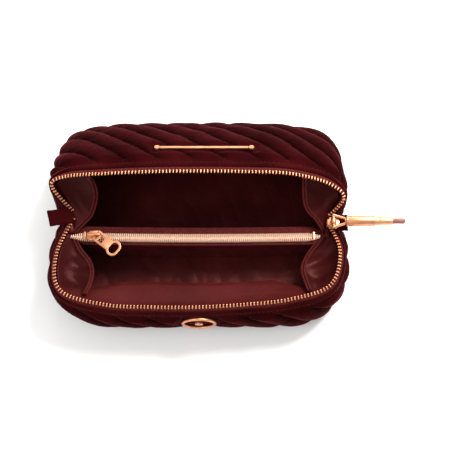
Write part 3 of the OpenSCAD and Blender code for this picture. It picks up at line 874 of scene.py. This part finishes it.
def puffed(name, centre, size, turn_deg, material, nodes, tilt_deg=0.0):
    """A small stuffed fabric piece: a rounded block, remeshed, puffed under pressure, and smoothed."""
    bpy.ops.mesh.primitive_cube_add(size=1)
    piece = bpy.context.object
    piece.name = name
    piece.data.name = name
    piece.data.transform(Matrix.Diagonal((*(s * MM * SIM_SCALE for s in size), 1)))
    modify(piece, "BEVEL", width=min(size) * 0.4 * MM * SIM_SCALE, segments=3)
    modify(piece, "REMESH", mode="VOXEL", voxel_size=max(min(size) * 0.3, 0.7) * MM * SIM_SCALE)
    rest = np.array([v.co[:] for v in piece.data.vertices])
    cloth = piece.modifiers.new("cloth", "CLOTH")
    cloth.settings.use_pressure = True
    cloth.settings.uniform_pressure_force = SIM_PRESSURE
    cloth.settings.effector_weights.gravity = 0
    cloth.settings.shrink_min = -0.02
    cloth.point_cache.frame_start, cloth.point_cache.frame_end = 1, SIM_FRAMES
    for f in range(1, SIM_FRAMES + 1):
        bpy.context.scene.frame_set(f)
    graph = bpy.context.evaluated_depsgraph_get()
    done = bpy.data.meshes.new_from_object(piece.evaluated_get(graph))
    piece.modifiers.clear()
    piece.data = done
    bpy.context.scene.frame_set(1)
    moved = np.array([v.co[:] for v in piece.data.vertices])
    shift = moved - rest
    far = np.linalg.norm(shift, axis=1, keepdims=True)
    limit = PUFF_LIMIT * MM * SIM_SCALE
    moved = rest + shift * np.minimum(1, limit / np.maximum(far, 1e-9))
    turned, tilted = math.radians(turn_deg), math.radians(tilt_deg)
    spin = np.array(Matrix.Rotation(turned, 3, "Z") @ Matrix.Rotation(tilted, 3, "Y"))
    moved = (moved / SIM_SCALE) @ spin.T + np.array(centre) * MM
    piece.data.vertices.foreach_set("co", moved.ravel())
    modify(piece, "SUBSURF", levels=1)
    piece.data.materials.clear()
    piece.data.materials.append(material)
    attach(piece, "root")
    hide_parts(*nodes)


# Each tab reaches in from its outer edge to the zip end that it is sewn to: which way it points, its reach,
# how far its middle is moved in and up, and its turn and tilt in degrees
TAB_WIDTH, TAB_T = 14.3, 1.9
TABS = {"left": (-1, 20.0, 1.0, -2.6, 14, 13), "right": (1, 15.5, 0.0, -0.2, 0, 0)}
for word, (way, reach, inward, lift, turned, tilted) in TABS.items():
    low, high = (np.array(corner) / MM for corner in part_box("tab_" + word))
    edge = low[0] if way < 0 else high[0]
    middle = (low + high) / 2
    centre = (edge - way * (reach / 2 + inward), middle[1], middle[2] + lift)
    puffed(f"tab_{word}_velvet", centre, (reach, TAB_WIDTH, TAB_T), turned, VELVET, ["tab_" + word],
           tilted)
puffed("end_fold_left", (-98.5, -9, 40.2), (5, 16, 4.6), 8, SATIN, ["zip_end_left"])
puffed("end_fold_right", (98.3, -10, 39.8), (4.6, 20, 4.4), -6, SATIN, ["zip_end_right"])


# ------------------------------------------- hard pieces, softened from the frame
HARD = {
    "root": ("pocket_stop_left", "pocket_stop_right"),
    "main_slider": ("main_slider", "main_slider_bridge"),
    "puller": ("puller_stirrup", "charm_cap", "charm_barrel", "charm_collar", "charm_sleeve", "charm_bullet"),
    "pocket_slider": ("pocket_slider", "pocket_slider_bridge"),
    "pocket_pull": ("pocket_pull",),
    "front_flap": ("emblem_ring", "emblem_stud"),
    "back_flap": ("crest_bar",),
}
FINISH = {"charm_bullet": (LACQUER, "charm_tip"), "charm_sleeve": (PALE_GOLD, "rose_gold"),
          "charm_collar": (PALE_GOLD, "rose_gold")}
for body, nodes in HARD.items():
    for node in nodes:
        material, slot = FINISH.get(node, (GOLD, "rose_gold"))
        polished(node, body, material)


# ------------------------------------------- stage, light and camera
def floor_stage():
    bpy.ops.mesh.primitive_plane_add(size=6, location=(0, 0, 0))
    floor = bpy.context.object
    floor.name = "floor"
    n = Nodes("pale_floor")
    n.set(Roughness=0.85, Specular_IOR_Level=0.1)
    n.feed("Base Color", n.mix(n.noise(3), (0.93, 0.925, 0.92), (0.95, 0.945, 0.94)))
    floor.data.materials.append(n.mat)
    floor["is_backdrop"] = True


def lamp(name, place, target, size, power, colour=(1, 1, 1)):
    data = bpy.data.lights.new(name, "AREA")
    data.shape = "RECTANGLE"
    data.size, data.size_y = size
    data.energy = power
    data.color = colour
    o = bpy.data.objects.new(name, data)
    bpy.context.scene.collection.objects.link(o)
    o.location = place
    o.rotation_euler = (Vector(target) - Vector(place)).to_track_quat("-Z", "Y").to_euler()


VIEW_ELEVATION = math.radians(71)
VIEW_DISTANCE = 0.9
VIEW_LENS = 94.7
VIEW_TARGET = Vector((0.0196, -0.0115, 0.045))
camera = bpy.data.objects.new("camera", bpy.data.cameras.new("camera"))
view_from = Vector((0, -math.cos(VIEW_ELEVATION), math.sin(VIEW_ELEVATION)))
camera.location = VIEW_TARGET + view_from * VIEW_DISTANCE
camera.rotation_euler = (math.pi / 2 - VIEW_ELEVATION, 0, 0)
camera.data.sensor_width = 36
camera.data.lens = VIEW_LENS
camera.data.clip_start = 0.02
bpy.context.scene.collection.objects.link(camera)
bpy.context.scene.camera = camera
floor_stage()
lamp("key", (0.55, 0.5, 1.0), (0, 0, 0.03), (0.4, 0.4), 26, (1, 0.975, 0.95))
lamp("fill", (-0.7, -0.5, 0.9), (0, 0, 0.03), (0.9, 0.9), 7)
lamp("rim", (0.1, 0.9, 0.5), (0, 0, 0.05), (0.8, 0.3), 5)
bpy.context.scene.view_settings.view_transform = "Standard"
world = bpy.data.worlds.new("soft_room")
world.use_nodes = True
world.node_tree.nodes["Background"].inputs["Color"].default_value = (0.97, 0.96, 0.96, 1)
world.node_tree.nodes["Background"].inputs["Strength"].default_value = 0.72
bpy.context.scene.world = world

low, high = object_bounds()
